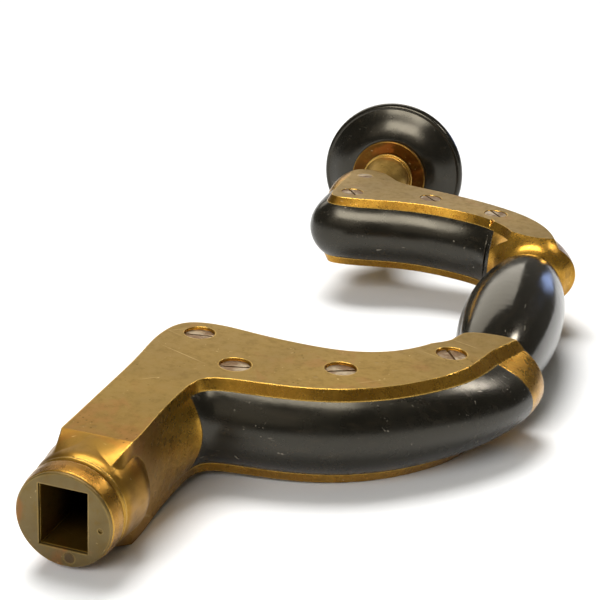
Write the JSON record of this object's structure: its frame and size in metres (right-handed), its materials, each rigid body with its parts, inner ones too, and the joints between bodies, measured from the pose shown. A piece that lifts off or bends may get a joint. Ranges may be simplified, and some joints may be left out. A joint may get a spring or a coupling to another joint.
{
  "type": "brass-framed bit brace",
  "caption": "Hand crank for boring bits: flat brass frame filled with ebony, turning grip, swivel head and a square bit socket with a turning lock ring.",
  "frame": {"origin": "centre of the nose face, at the mouth of the bit socket", "axes": "+Y along the turning axis from the socket to the head, +X from that axis to the grip, +Z normal to the flat cheeks"},
  "size_m": [0.1288, 0.3542, 0.0656],
  "materials": {
    "frame_brass": "satin, aged, with worn bright edges",
    "nose_brass": "dull, patinated",
    "ring_brass": "polished by handling",
    "neck_brass": "turned, polished",
    "disc_brass": "reddish, aged",
    "arm_ebony": "waxed, with fine scratches",
    "grip_ebony": "high polish",
    "head_ebony": "waxed, with fine scratches",
    "screw_steel": "browned, worn slots",
    "bright_steel": "turned"
  },
  "bodies": {
    "crank": {"lower_frame": "frame_brass", "lower_infill": "arm_ebony", "lower_top_screws": "screw_steel", "lower_bottom_screws": "screw_steel", "upper_frame": "frame_brass", "upper_infill": "arm_ebony", "upper_top_screws": "screw_steel", "upper_bottom_screws": "screw_steel", "neck_lock_screw": "frame_brass", "nose_plate": "nose_brass", "nose_rivet": "nose_brass", "neck": "neck_brass", "head_spindle": "bright_steel", "head_washer": "bright_steel", "head_nut": "bright_steel", "grip_spindle": "bright_steel", "catch_spring": "bright_steel"},
    "head": {"head": "head_ebony", "head_flange": "disc_brass", "head_cap": "head_ebony"},
    "grip": {"grip": "grip_ebony", "grip_bushes": "neck_brass"},
    "ring": {"lock_ring": "ring_brass"},
    "catch": {"catch": "bright_steel"}
  },
  "joints": [
    {"name": "head_spin", "type": "hinge", "parent": "crank", "child": "head", "pos_m": [0, 0.3282, 0], "axis": [0, 1, 0], "continuous": true},
    {"name": "grip_spin", "type": "hinge", "parent": "crank", "child": "grip", "pos_m": [0.0794, 0.1705, 0], "axis": [0, 1, 0], "continuous": true},
    {"name": "ring_turn", "type": "hinge", "parent": "crank", "child": "ring", "pos_m": [0, 0.00315, 0], "axis": [0, 1, 0], "range_deg": [0, 30]},
    {"name": "catch_slide", "type": "slide", "parent": "crank", "child": "catch", "axis": [1, 0, 0], "range_m": [0, 0.0012], "deforming": ["catch_spring"]}
  ],
  "couplings": [
    {"joint": "catch_slide", "follows": "ring_turn", "m_per_rad": 0.00229}
  ]
}
